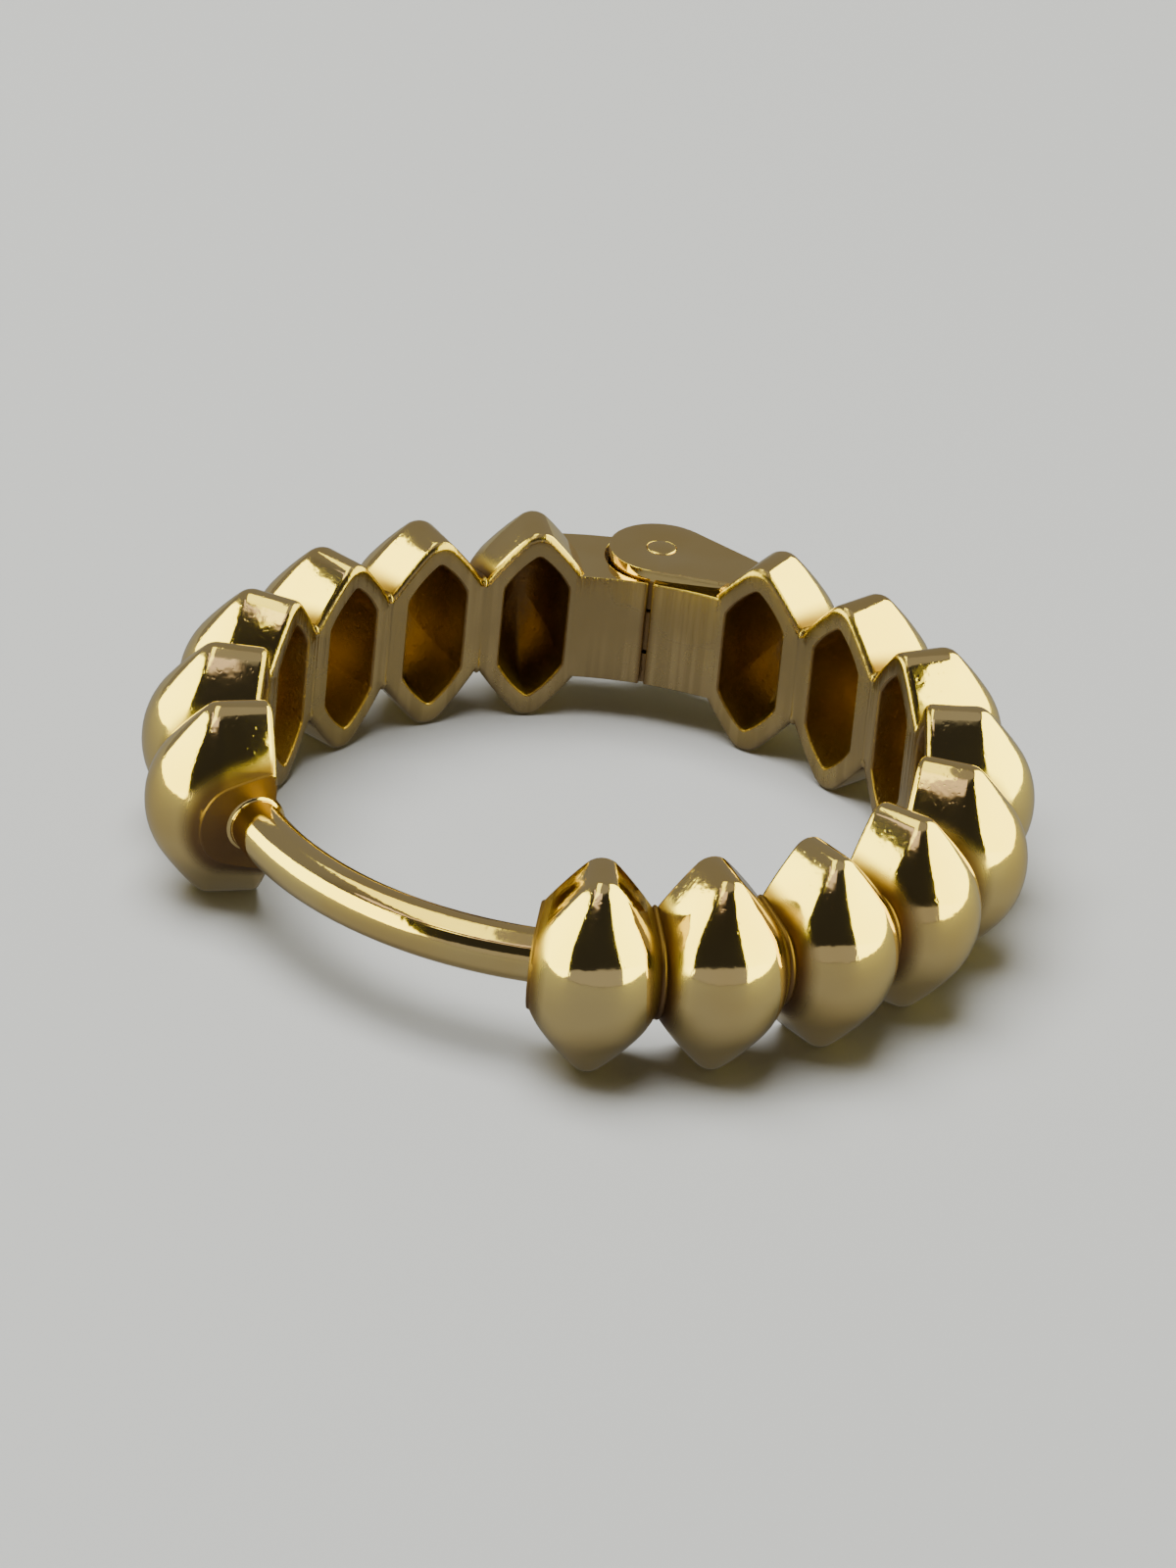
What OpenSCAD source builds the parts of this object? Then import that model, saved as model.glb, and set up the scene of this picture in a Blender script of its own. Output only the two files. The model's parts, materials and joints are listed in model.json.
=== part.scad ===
// Hinged hoop earring made of domed almond links, closed by a curved ear post.
// The hoop lies on its side: its axis is Z, it rests on the links' lower tips at
// z = 0, and the hinge pin stands on the +Y side.

/* [Hoop] */
// Outer diameter over the domes
outer_d = 15; // [14.5:0.1:16]
// Inner diameter across the links' flat backs
inner_d = 11; // [10.6:0.1:11.6]
// Width of the hoop from tip to tip of a link
hoop_w = 3.5; // [3.3:0.1:3.8]

/* [Links] */
// Number of links in the front half
front_links = 9; // [8:1:9]
// Number of links in the back half
back_links = 6; // [4:1:6]
// Angle from one link to the next
link_pitch = 18.6; // [18.2:0.1:19]
// Width of one link across its middle
link_w = 2.3; // [2.2:0.05:2.4]
// Bow of a link's long sides: 1 is one arc to its ends, less has straight ends
link_bow = 0.8; // [0.76:0.02:0.9]
// Radius of a link's round tips
link_tip_r = 0.35; // [0.2:0.05:0.4]
// Thickness of a link's dome at its crest
dome_wall = 0.43; // [0.35:0.01:0.5]
// Length of the hollow in a link's back, from tip to tip
hollow_l = 2.65; // [2.5:0.05:2.7]
// Width of the hollow between its straight sides
hollow_w = 1.1; // [0.9:0.02:1.2]
// Bow of the hollow's long sides
hollow_bow = 0.96; // [0.9:0.01:0.98]
// Radius of the hollow's round tips
hollow_tip_r = 0.1; // [0.05:0.01:0.15]

/* [Hinge] */
// Angle from the pin to the middle of the first link on either side
hinge_angle = 20; // [19.5:0.1:21]
// Distance from the hoop's axis to the pin
hinge_r = 6.55; // [6.5:0.01:6.6]
// Height of the hinge block
hinge_h = 1.95; // [1.8:0.05:2.1]
// Outer diameter of the hinge block
hinge_od = 14.3; // [13.6:0.1:14.4]
// Diameter of the round knuckle
knuckle_d = 1.8; // [1.7:0.02:1.84]
// Height that the upper fork ear stands proud of the block
ear_proud = 0.2; // [0:0.05:0.3]
// Height of the back half's tongue
tongue_h = 0.75; // [0.6:0.05:0.9]
// Running gap round and between the parts of the knuckle
hinge_gap = 0.05; // [0.03:0.01:0.08]
// Width of the seam where the two halves of the block meet
seam_w = 0.08; // [0.04:0.01:0.1]
// Width of an ear's neck where it runs into the first link
neck_w = 0.6; // [0.4:0.1:1.2]
// Diameter of the hinge pin
pin_d = 0.5; // [0.4:0.05:0.6]

/* [Ear post] */
// Diameter of the post's wire
post_d = 0.9; // [0.8:0.02:0.96]
// Distance from the hoop's axis to the middle of the wire
post_r = 5.91; // [5.85:0.01:6]
// Clearance round the wire in its catch notch
post_gap = 0.06; // [0.05:0.01:0.1]

/* [Hidden] */
$fn = 64;

gold = [0.86, 0.69, 0.34];
pin_gold = [0.93, 0.8, 0.5];

// The hoop
inner_r = inner_d / 2;
crest_r = outer_d / 2;
mid_z = hoop_w / 2;

// The links
link_half = link_w / 2;
spine_r = crest_r - link_half;
hollow_half = link_half - dome_wall;
front_first = 90 - hinge_angle;
back_first = 90 + hinge_angle;
catch_angle = front_first - (front_links - 1) * link_pitch;
root_angle = back_first + (back_links - 1) * link_pitch;

// The hinge
hinge_z = mid_z - hinge_h / 2;
tongue_z = mid_z - tongue_h / 2;
slot_z = tongue_z - hinge_gap;
slot_h = tongue_h + 2 * hinge_gap;
lower_ear_h = slot_z - hinge_z;
upper_ear_h = lower_ear_h + ear_proud;
knuckle_h = hinge_h + ear_proud;
seat_d = knuckle_d + 2 * hinge_gap;
seam_angle = asin(seam_w / 2 / inner_r);
press_gap = 0.01;
running_gap = 0.04;
pin_proud = 0.03;
pin_chamfer = 0.05;

// The ear post: its root is soldered into the last back link's side wall, and its
// rounded tip reaches through a notch into the last front link's hollow
root_offset = 7;
tip_offset = 5;
notch_outer = 16;
notch_inner = 3.5;
post_root = root_angle + root_offset;
post_turn = 360 + catch_angle - tip_offset - post_root;

// How far a cut runs past the metal that it opens
cut_run = 1;

// Radius of an almond's long sides, as a share of the arc that reaches its ends
function side_radius(half_w, half_l, bow) =
    bow * (half_w * half_w + half_l * half_l) / (2 * half_w);

// Angle between the almond's long axis and the straight line that joins its side
// to the round tip
function end_angle(half_w, cap_l, side_r, tip_r) =
    asin((side_r - tip_r) / norm([cap_l, side_r - half_w])) - atan((side_r - half_w) / cap_l);

// Almond outline, as a link shows from the middle of the hoop, its long axis along X
module almond(half_w, half_l, bow, tip_r) {
    side_r = side_radius(half_w, half_l, bow);
    cap_l = half_l - tip_r;
    angle = end_angle(half_w, cap_l, side_r, tip_r);
    side_end = [side_r * sin(angle), half_w - side_r + side_r * cos(angle)];
    tip_end = [cap_l + tip_r * sin(angle), tip_r * cos(angle)];
    intersection() {
        translate([0, half_w - side_r])
            circle(r = side_r);
        translate([0, side_r - half_w])
            circle(r = side_r);
        translate([-side_end.x, -half_w])
            square([2 * side_end.x, 2 * half_w]);
    }
    polygon([
        [side_end.x, side_end.y],
        [tip_end.x, tip_end.y],
        [tip_end.x, -tip_end.y],
        [side_end.x, -side_end.y],
        [-side_end.x, -side_end.y],
        [-tip_end.x, -tip_end.y],
        [-tip_end.x, tip_end.y],
        [-side_end.x, side_end.y]
    ]);
    for (x = [-cap_l, cap_l])
        translate([x, 0])
            circle(r = tip_r);
}

// Half of the almond, its long axis along Y
module half_almond(half_w, half_l, bow, tip_r) {
    intersection() {
        rotate(90)
            almond(half_w, half_l, bow, tip_r);
        translate([0, -half_l])
            square([half_w, 2 * half_l]);
    }
}

// Straight walls from back_r out to the spine, and the almond turned to a dome over them
module domed_almond(half_w, half_l, bow, tip_r, back_r) {
    translate([back_r, 0, 0])
        rotate([0, 90, 0])
            linear_extrude(spine_r - back_r)
                almond(half_w, half_l, bow, tip_r);
    translate([spine_r, 0, 0])
        rotate_extrude(angle = 180, start = -90)
            half_almond(half_w, half_l, bow, tip_r);
}

// The hollow in a link's back is a smaller domed almond, cut to straight sides
module link_hollow() {
    intersection() {
        domed_almond(hollow_half, hollow_l / 2, hollow_bow, hollow_tip_r, inner_r - cut_run);
        translate([0, -hollow_w / 2, -mid_z])
            cube([crest_r, hollow_w, hoop_w]);
    }
}

// Run of links that starts at one angle and goes round in steps. Its free end is
// cut flat, half a step past the middle of the last link
module link_run(first, count, step) {
    difference() {
        for (i = [0 : count - 1])
            translate([0, 0, mid_z])
                rotate([0, 0, first + i * step])
                    domed_almond(link_half, mid_z, link_bow, link_tip_r, inner_r);
        rotate([0, 0, first + (count - 0.5) * step])
            translate([0, step < 0 ? -link_w : 0, -cut_run])
                cube([crest_r + cut_run, link_w, hoop_w + 2 * cut_run]);
    }
}

module hollow_run(first, count, step) {
    for (i = [0 : count - 1])
        translate([0, 0, mid_z])
            rotate([0, 0, first + i * step])
                link_hollow();
}

// Part of the hinge block between two angles
module hinge_block(from, turn) {
    translate([0, 0, hinge_z])
        rotate_extrude(angle = turn, start = from)
            translate([inner_r, 0])
                square([hinge_od / 2 - inner_r, hinge_h]);
}

// Cylinder about the pin's axis
module about_pin(z, d, h) {
    translate([0, hinge_r, z])
        cylinder(d = d, h = h);
}

// Fork ear: a disc whose neck narrows into the first link
module fork_ear(z, h) {
    ear_r = knuckle_d / 2;
    tip_r = neck_w / 2;
    reach = [spine_r * cos(front_first), spine_r * sin(front_first) - hinge_r];
    neck_l = norm(reach);
    lean = asin((ear_r - tip_r) / neck_l);
    translate([0, hinge_r, z])
        linear_extrude(h) {
            circle(r = ear_r);
            rotate(atan2(reach[1], reach[0]))
                polygon([
                    [ear_r * sin(lean), -ear_r * cos(lean)],
                    [neck_l + tip_r * sin(lean), -tip_r * cos(lean)],
                    [neck_l + tip_r * sin(lean), tip_r * cos(lean)],
                    [ear_r * sin(lean), ear_r * cos(lean)]
                ]);
        }
}

// Round wire bent along the hoop, with a rounded tip at its far end
module ear_post() {
    translate([0, 0, mid_z]) {
        rotate_extrude(angle = post_turn, start = post_root)
            translate([post_r, 0])
                circle(d = post_d);
        rotate([0, 0, post_root + post_turn])
            translate([post_r, 0, 0])
                rotate([-90, 0, 0])
                    rotate_extrude()
                        intersection() {
                            circle(d = post_d);
                            square(post_d);
                        }
    }
}

// Notch for the post's tip, open towards the middle of the hoop
module catch_notch() {
    notch_d = post_d + 2 * post_gap;
    translate([0, 0, mid_z])
        rotate_extrude(angle = notch_outer - notch_inner, start = catch_angle - notch_outer) {
            translate([post_r, 0])
                circle(d = notch_d);
            translate([post_r - cut_run, -notch_d / 2])
                square([cut_run, notch_d]);
        }
}

module front_half() {
    color(gold)
        difference() {
            union() {
                difference() {
                    hinge_block(front_first, hinge_angle - seam_angle);
                    about_pin(slot_z, seat_d, slot_h);
                }
                fork_ear(hinge_z, lower_ear_h);
                fork_ear(slot_z + slot_h, upper_ear_h);
                link_run(front_first, front_links, -link_pitch);
            }
            hollow_run(front_first, front_links, -link_pitch);
            about_pin(-cut_run, pin_d + 2 * press_gap, hoop_w + 2 * cut_run);
            catch_notch();
        }
}

module back_half() {
    color(gold)
        difference() {
            union() {
                difference() {
                    hinge_block(90 + seam_angle, hinge_angle - seam_angle);
                    about_pin(-cut_run, seat_d, tongue_z + cut_run);
                    about_pin(tongue_z + tongue_h, seat_d, hoop_w);
                }
                about_pin(tongue_z, knuckle_d, tongue_h);
                link_run(back_first, back_links, link_pitch);
                ear_post();
            }
            hollow_run(back_first, back_links, link_pitch);
            about_pin(-cut_run, pin_d + 2 * running_gap, hoop_w + 2 * cut_run);
        }
}

module hinge_pin() {
    pin_h = knuckle_h + 2 * pin_proud;
    color(pin_gold)
        translate([0, hinge_r, hinge_z - pin_proud])
            rotate_extrude()
                polygon([
                    [0, 0],
                    [pin_d / 2 - pin_chamfer, 0],
                    [pin_d / 2, pin_chamfer],
                    [pin_d / 2, pin_h - pin_chamfer],
                    [pin_d / 2 - pin_chamfer, pin_h],
                    [0, pin_h]
                ]);
}

front_half();
back_half();
hinge_pin();
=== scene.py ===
# %% [markdown]
# # A hinged gold hoop earring
#
# The earring is a small hoop of fifteen domed links. It is cast in two halves
# that turn on a pin, and a round wire closes it through the ear lobe. Its
# construction comes in as a fixed frame, at its real size. This lesson models
# what the eye sees round that frame: smooth domes, soft edges, hollow backs
# and the finishes of the gold.

# %% Load the fixed frame
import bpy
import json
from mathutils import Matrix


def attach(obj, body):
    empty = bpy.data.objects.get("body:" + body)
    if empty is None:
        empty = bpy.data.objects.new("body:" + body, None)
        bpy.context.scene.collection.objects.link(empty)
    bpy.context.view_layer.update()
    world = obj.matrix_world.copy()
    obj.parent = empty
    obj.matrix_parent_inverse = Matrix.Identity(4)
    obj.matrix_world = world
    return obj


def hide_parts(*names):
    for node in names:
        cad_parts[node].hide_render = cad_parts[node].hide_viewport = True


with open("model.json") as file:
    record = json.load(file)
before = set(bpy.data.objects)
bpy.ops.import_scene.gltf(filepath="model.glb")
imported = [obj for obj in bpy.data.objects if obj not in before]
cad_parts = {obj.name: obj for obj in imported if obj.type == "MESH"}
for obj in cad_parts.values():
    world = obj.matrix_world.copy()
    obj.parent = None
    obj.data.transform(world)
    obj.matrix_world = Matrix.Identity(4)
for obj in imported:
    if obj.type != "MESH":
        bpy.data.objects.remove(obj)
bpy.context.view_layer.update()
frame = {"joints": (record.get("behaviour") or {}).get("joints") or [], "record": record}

import json
import math

import bmesh
import bpy
from mathutils import Matrix, Vector

# %% [markdown]
# ## Measures
#
# Everything is modelled in millimetres, with the middle of the hoop's width at
# height 0, because round numbers are easier to read than thousandths of a
# metre. The hinge and the wire have their places in the frame, so those are
# read from it. The rest are the goldsmith's own measures: the radius of the
# flat backs, the radius of the ridge where the domes begin, and the width of a
# link.

# %% Measures in millimetres
MM = 0.001
NEAR = 1e-4
X_AXIS = Vector((1, 0, 0))
Z_AXIS = Vector((0, 0, 1))
HOOP_AXIS = Vector((0, 0, 0))

hinge_place = Vector(frame["joints"][0]["pos_m"]) / MM
post_mount = frame["record"]["mounts"][0]
mid_z = hinge_place.z
pin_centre = Vector((0, hinge_place.y, 0))
wire_r = post_mount["dims"]["r_mm"]
wire_path_r = Vector(post_mount["pos_m"]).xy.length / MM

back_r = 5.5
crest_r = 7.497
link_half_w = 1.15
link_half_l = mid_z
spine_r = crest_r - link_half_w
link_pitch = 18.6
front_first, front_count = 70.0, 9
back_first, back_count = 110.0, 6
catch_angle = front_first - (front_count - 1) * link_pitch
root_angle = back_first + (back_count - 1) * link_pitch
print(f"mid height {mid_z:.2f}, wire {2 * wire_r:.2f} on radius {wire_path_r:.2f}")
print(f"free link at {catch_angle:.1f} degrees, root link at {root_angle:.1f} degrees")

# %% [markdown]
# ## Drawing with a spin
#
# A goldsmith's profile is made of arcs, and so is every profile here. A spin of
# one vertex draws an arc, a spin of that arc turns it into a dome, and a spin
# of a whole ring of edges sweeps it along the hoop. The alternative is to work
# out every point by hand, which is longer and easier to get wrong. Round edges
# and tips are stepped through as quarter circles, so that helper is here too.
# What the helpers pick is kept in dictionaries and not in sets, because a set
# gives its members back in another order on every run.

# %% Helpers that draw and pick
def verts_of(geom):
    return [g for g in geom if isinstance(g, bmesh.types.BMVert)]


def edges_among(verts):
    """The edges whose two ends are both among these vertices."""
    inside = dict.fromkeys(verts)
    found = dict.fromkeys(e for v in inside for e in v.link_edges)
    return [e for e in found if e.verts[0] in inside and e.verts[1] in inside]


def draw_arc(bm, start, centre, axis, degrees, steps):
    """Spins one vertex into a chain of edges and returns the chain's last vertex."""
    made = bmesh.ops.spin(bm, geom=[start], cent=centre, axis=axis,
                          angle=math.radians(degrees), steps=steps)
    return verts_of(made["geom_last"])[0]


def draw_line(bm, start, point):
    """Adds a straight edge from a vertex to a point and returns the new vertex."""
    end = bm.verts.new(point)
    bm.edges.new((start, end))
    return end


def push_loop(bm, loop, move, grow=(1, 1, 1)):
    """Extrudes a ring of edges, resizes it about the link's axis and moves it on."""
    made = bmesh.ops.extrude_edge_only(bm, edges=loop)
    verts = verts_of(made["geom"])
    bmesh.ops.scale(bm, vec=grow, verts=verts)
    bmesh.ops.translate(bm, vec=move, verts=verts)
    return edges_among(verts)


def cut(bm, faces, point, normal, clear=False):
    """Cuts these faces with a plane, and may clear away what lies beyond it."""
    parts = dict.fromkeys(g for f in faces for g in (f, *f.edges, *f.verts))
    bmesh.ops.bisect_plane(bm, geom=list(parts), dist=NEAR / 10, plane_co=point,
                           plane_no=normal, clear_outer=clear)


def weld(bm):
    """Merges vertices that fall together."""
    bmesh.ops.remove_doubles(bm, verts=bm.verts, dist=NEAR * 10)


def turn_about_hoop(bm, verts, degrees):
    bmesh.ops.rotate(bm, cent=HOOP_AXIS, verts=verts,
                     matrix=Matrix.Rotation(math.radians(degrees), 3, "Z"))


def add_to(bm, part, degrees=0):
    """Turns a part about the hoop's axis and adds it to a bigger mesh."""
    turn_about_hoop(part, part.verts, degrees)
    mesh = bpy.data.meshes.new("part")
    part.to_mesh(mesh)
    part.free()
    bm.from_mesh(mesh)
    bpy.data.meshes.remove(mesh)


def quarter_turn(steps, stop_short=False):
    """Steps through a quarter circle: each angle with the one before it, in radians."""
    count = steps - 1 if stop_short else steps
    for step in range(1, count + 1):
        yield math.radians(90 * step / steps), math.radians(90 * (step - 1) / steps)


print("a quarter circle in three steps:",
      [round(math.degrees(turn)) for turn, _ in quarter_turn(3)])


# %% [markdown]
# ## The dome of one link
#
# A link is a lemon cut along its length: an almond outline, turned half round
# to make the dome, with straight walls that run in to a flat back. Its sides
# are bowed in the middle and run straight into round tips, as the real links'
# do. The edge round its back is rounded, and the stone that flattens the back
# also takes the shine off most of that edge. The link is drawn lying along X,
# with its dome outwards, and moved to its place on the hoop later.

# %% Shape of the almond outline
class Almond:
    """Three arcs a quarter: a bowed side, a nearly straight end and a round tip.

    The angles say how far the outline has turned where one arc meets the next.
    """

    def __init__(self, half_w, half_l, side_turn, end_turn, tip_r):
        self.half_w, self.half_l, self.tip_r = half_w, half_l, tip_r
        self.side_turn, self.end_turn = side_turn, end_turn
        sin_s, cos_s = math.sin(math.radians(side_turn)), math.cos(math.radians(side_turn))
        sin_e, cos_e = math.sin(math.radians(end_turn)), math.cos(math.radians(end_turn))
        along = Vector((sin_s, 1 - cos_s))
        across = Vector((sin_e - sin_s, cos_s - cos_e))
        room = Vector((half_l - tip_r * (1 - sin_e), half_w - tip_r * cos_e))
        span = along.cross(across)
        self.side_r = room.cross(across) / span
        self.end_r = along.cross(room) / span

    def draw(self, bm, x, side_steps, end_steps, tip_steps):
        """Draws the side that lies at negative Y, from the lower tip to the upper one."""
        turn, end_turn = self.side_turn, self.end_turn - self.side_turn
        tip_turn = 90 - self.end_turn
        out = Vector((0, -math.cos(math.radians(turn)), math.sin(math.radians(turn))))
        side = Vector((x, self.side_r - self.half_w, 0))
        high_end = side + out * (self.side_r - self.end_r)
        high_tip = Vector((x, 0, self.half_l - self.tip_r))
        low_end, low_tip = high_end * Vector((1, 1, -1)), high_tip * Vector((1, 1, -1))
        end = bm.verts.new((x, 0, -self.half_l))
        end = draw_arc(bm, end, low_tip, X_AXIS, -tip_turn, tip_steps)
        end = draw_arc(bm, end, low_end, X_AXIS, -end_turn, end_steps)
        end = draw_arc(bm, end, side, X_AXIS, -2 * turn, side_steps)
        end = draw_arc(bm, end, high_end, X_AXIS, -end_turn, end_steps)
        draw_arc(bm, end, high_tip, X_AXIS, -tip_turn, tip_steps)


link_almond = Almond(link_half_w, link_half_l, side_turn=36, end_turn=44, tip_r=0.35)
print(f"a link is {2 * link_almond.half_w:.2f} wide and {2 * link_almond.half_l:.2f} long")

# %% Turn the almond to a dome and push its walls inwards
dome_turns = 44
edge_r = 0.13
edge_steps = 4
stoned_share = 0.8
FINISH = {"polish": 0, "hollow": 1, "rim": 2, "brushed": 3}


def link_dome(bm, almond):
    """The dome, its walls and the soft edge round its back."""
    almond.draw(bm, spine_r, side_steps=28, end_steps=10, tip_steps=8)
    bmesh.ops.spin(bm, geom=bm.verts[:] + bm.edges[:], cent=(spine_r, 0, 0),
                   axis=Z_AXIS, angle=math.pi, steps=dome_turns)
    weld(bm)
    loop = [e for e in bm.edges if e.is_boundary]
    loop = push_loop(bm, loop, (back_r + edge_r - spine_r, 0, 0))
    w, h = almond.half_w, almond.half_l
    for turn, last in quarter_turn(edge_steps):
        inset, before = (edge_r * (1 - math.cos(a)) for a in (turn, last))
        down = edge_r * (math.sin(last) - math.sin(turn))
        grow = (1, (w - inset) / (w - before), (h - inset) / (h - before))
        loop = push_loop(bm, loop, (down, 0, 0), grow)
    for face in bm.faces:
        if face.calc_center_median().x < back_r + stoned_share * edge_r:
            face.material_index = FINISH["rim"]


print(f"dome in {dome_turns} steps, its back's edge rounded by {edge_r:.2f} mm")


# %% [markdown]
# ## The hollow in its back
#
# The back of each link is scooped out, which saves gold and keeps the earring
# light on the lobe. Its mouth is a long hexagon with bowed slants. It is drawn
# as one outline, its corners are rounded, and then it is pushed into the link
# ring by ring, like a drawn cup: a soft lip, straight sides and a round floor.

# %% Push the hollow into the link
mouth = Almond(half_w=0.72, half_l=1.325, side_turn=44, end_turn=52, tip_r=0.1)
mouth_half_w = 0.55
corner_r = 0.1
lip_r = 0.04
lip_steps = 3
straight_depth = 0.35
floor_x = 6.2
floor_depth = 0.84
floor_steps = 9


def mouth_outline(bm):
    """The hollow's mouth: the almond with its two sides cut straight."""
    mouth.draw(bm, back_r, side_steps=16, end_steps=3, tip_steps=4)
    half = bm.verts[:] + bm.edges[:]
    other = bmesh.ops.duplicate(bm, geom=half)["geom"]
    bmesh.ops.scale(bm, vec=(1, -1, 1), verts=verts_of(other))
    weld(bm)
    bmesh.ops.contextual_create(bm, geom=bm.edges[:])
    for side in (-1, 1):
        cut(bm, bm.faces, (0, side * mouth_half_w, 0), (0, side, 0), clear=True)
        rim = [v for v in bm.verts if abs(v.co.y - side * mouth_half_w) < NEAR]
        bmesh.ops.bevel(bm, geom=rim, offset=corner_r, offset_type="OFFSET", segments=3,
                        profile=0.5, affect="VERTICES", material=-1)


def link_hollow(bm):
    """The hollow as a cup of its own, open at its mouth."""
    mouth_outline(bm)
    loop = bm.edges[:]
    bmesh.ops.delete(bm, geom=bm.faces[:], context="FACES_ONLY")
    grown = (1, 1 + lip_r / mouth_half_w, 1 + lip_r / mouth.half_l)
    bmesh.ops.scale(bm, vec=grown, verts=bm.verts)
    size = list(grown)
    depth = back_r

    def ring(x, share_y, share_z):
        nonlocal loop, size, depth
        grow = (1, share_y / size[1], share_z / size[2])
        loop = push_loop(bm, loop, (x - depth, 0, 0), grow)
        size = [1, share_y, share_z]
        depth = x

    for turn, _ in quarter_turn(lip_steps):
        left = lip_r * (1 - math.sin(turn))
        ring(back_r + lip_r * (1 - math.cos(turn)),
             1 + left / mouth_half_w, 1 + left / mouth.half_l)
    for x in (back_r + straight_depth, floor_x):
        ring(x, 1, 1)
    for turn, _ in quarter_turn(floor_steps, stop_short=True):
        ring(floor_x + floor_depth * math.sin(turn), math.cos(turn), math.cos(turn))
    bmesh.ops.contextual_create(bm, geom=loop)
    for face in bm.faces:
        face.material_index = FINISH["hollow"]


print(f"hollow {floor_x + floor_depth - back_r:.2f} mm deep, "
      f"under {crest_r - floor_x - floor_depth:.2f} mm of gold")


# %% [markdown]
# ## Trimming a link to its neighbours
#
# Fifteen lemons in a row would run through each other. On the real casting they
# meet in narrow valleys, so each link is cut by two planes through the hoop's
# axis, a little short of half way to its neighbour. What is left between two
# links is a narrow strip, which becomes the rounded floor of the valley. At a
# free end of the row the cut side gets a soft rim and a flat face. Beside the
# hinge block a link keeps its whole side.

# %% Cut the sides off a link
valley_half_turn = 0.5
trim_turn = link_pitch / 2 - valley_half_turn


def side_normal(side):
    """The normal of the plane through the hoop's axis on one side of a link."""
    angle = math.radians(trim_turn)
    return Vector((-math.sin(angle), side * math.cos(angle), 0))


def trim_link(bm, sides):
    for side in sides:
        cut(bm, bm.faces, HOOP_AXIS, side_normal(side), clear=True)


def on_side(v, side):
    return abs(v.co.dot(side_normal(side))) < NEAR


def join_back(bm, side):
    """Joins the two ends of a cut side with an edge along the flat back."""
    ends = [v for v in bm.verts if on_side(v, side) and abs(v.co.x - back_r) < NEAR]
    bmesh.ops.contextual_create(bm, geom=ends)


def close_back(bm):
    """Fills the flat back between the link's outline and the hollow's mouth."""
    back = [e for e in bm.edges if (e.is_boundary or e.is_wire)
            and all(abs(v.co.x - back_r) < NEAR for v in e.verts)]
    made = bmesh.ops.triangle_fill(bm, use_beauty=True, edges=back, normal=-X_AXIS)
    for face in made["geom"]:
        if isinstance(face, bmesh.types.BMFace):
            face.material_index = FINISH["rim"]


# %% Close the cut side at a free end
end_depth = 0.055
end_middle_r = 6.3
end_half = Vector((0.8, 1.6))


def close_end(bm, side):
    """Extrudes a cut side's ring outwards with a soft rim and fills it, polished flat."""
    middle = Matrix.Rotation(math.radians(side * trim_turn), 4, "Z")
    middle = middle @ Matrix.Translation((end_middle_r, 0, 0))
    loop = [e for e in bm.edges if all(on_side(v, side) for v in e.verts)]
    for now, last in quarter_turn(edge_steps):
        inset, before = (end_depth * (1 - math.cos(a)) for a in (now, last))
        out = end_depth * (math.sin(now) - math.sin(last))
        verts = verts_of(bmesh.ops.extrude_edge_only(bm, edges=loop)["geom"])
        grow = [(half - inset) / (half - before) for half in end_half]
        bmesh.ops.scale(bm, vec=(grow[0], 1, grow[1]), verts=verts, space=middle.inverted())
        bmesh.ops.translate(bm, vec=side_normal(side) * out, verts=verts)
        loop = edges_among(verts)
    end = bmesh.ops.contextual_create(bm, geom=loop)["faces"][0]
    end.material_index = FINISH["polish"]


print(f"each link keeps {2 * trim_turn:.1f} of its {link_pitch} degrees")


# %% [markdown]
# ## The notch for the wire
#
# The free link of the front half takes the wire's tip. A channel with a round
# bottom runs through its side wall into the hollow, open towards the middle of
# the hoop so that the wire can swing in. It is cut with planes that touch the
# channel's round outline, the gold inside is deleted, and the two cut edges are
# bridged to make the channel's floor.

# %% Cut the notch through a side wall
notch_gap = 0.06
notch_r = wire_r + notch_gap
notch_x = 5.85
notch_planes = 9
side_wall_y = -0.5
near_notch, at_notch = 0.5, 0.01


def notch_normals():
    """Outward normals of the planes round the channel, from one side to the other."""
    for step in range(notch_planes):
        angle = math.pi * (step / (notch_planes - 1) - 0.5)
        yield Vector((math.cos(angle), 0, math.sin(angle)))


def in_notch(point, slack=0.0):
    reach = notch_r + slack
    offset = point - Vector((notch_x, 0, 0))
    return all(offset.dot(n) < reach for n in notch_normals())


def cut_notch(bm):
    """Opens the channel in the side wall that faces -Y."""
    def near():
        return [f for f in bm.faces if f.calc_center_median().y < side_wall_y
                and in_notch(f.calc_center_median(), near_notch)]

    for normal in notch_normals():
        point = Vector((notch_x, 0, 0)) + normal * notch_r
        cut(bm, near(), point, normal)
    gone = [f for f in near() if in_notch(f.calc_center_median())]
    bmesh.ops.delete(bm, geom=gone, context="FACES")
    edge = [e for e in bm.edges if e.is_boundary
            and all(v.co.y < side_wall_y and in_notch(v.co, at_notch) for v in e.verts)
            and any(v.co.x > back_r + NEAR for v in e.verts)]
    made = bmesh.ops.bridge_loops(bm, edges=edge)
    for face in made["faces"]:
        face.material_index = FINISH["hollow"]


print(f"notch {2 * notch_r:.2f} mm wide for a wire of {2 * wire_r:.2f} mm")


# %% [markdown]
# ## The floor of a valley
#
# The cut side of a link is a closed ring of edges. Spinning that ring a single
# degree about the hoop's axis lays a strip that ends exactly on the next link's
# cut side. The middle of the strip is then sunk a few hundredths of a
# millimetre, so that the valley has a round floor, as a polished casting has.

# %% Lay the strip between two links
valley_steps = 4
valley_sag = 0.036
inside_strip = 0.99


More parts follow.
